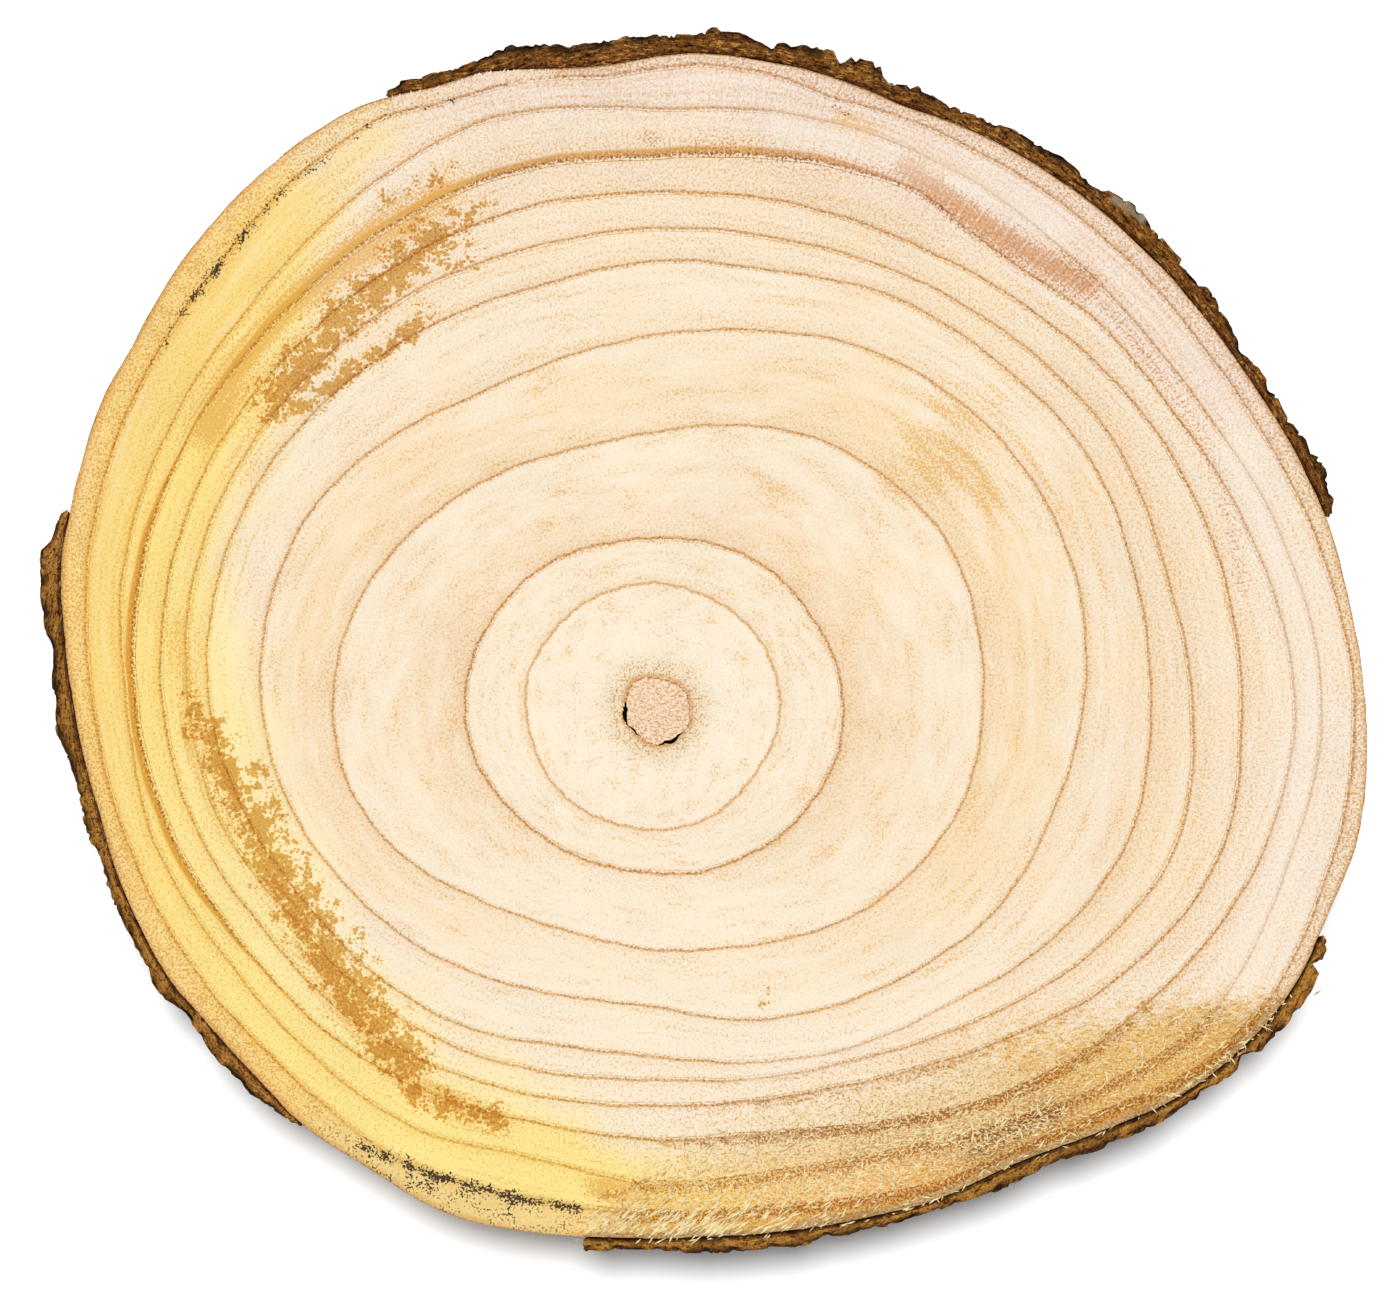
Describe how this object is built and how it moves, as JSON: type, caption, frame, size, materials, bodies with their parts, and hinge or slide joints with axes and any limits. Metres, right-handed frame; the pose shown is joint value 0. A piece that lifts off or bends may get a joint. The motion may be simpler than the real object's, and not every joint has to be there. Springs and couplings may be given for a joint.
{
  "type": "wood slice",
  "caption": "Flat sawn cross-section of a tree trunk, with growth rings round an off-centre pith and strips of bark left on its edge.",
  "frame": {"origin": "middle of the bounding box on the lower sawn face, which the slice rests on", "axes": "+Z out of the upper sawn face, +X along the slice's longer way across, towards the side with the wider rings"},
  "size_m": [0.266, 0.2454, 0.028],
  "materials": {
    "wood": "dry, unfinished sawn end grain, smooth with a rough sawn patch near one edge",
    "bark": "dry, rough, furrowed brown bark with greyer outer plates"
  },
  "bodies": {
    "root": {"wood_disc": "wood", "bark_top_strip": "bark", "bark_left_strip": "bark", "bark_bottom_strip": "bark"}
  },
  "joints": []
}
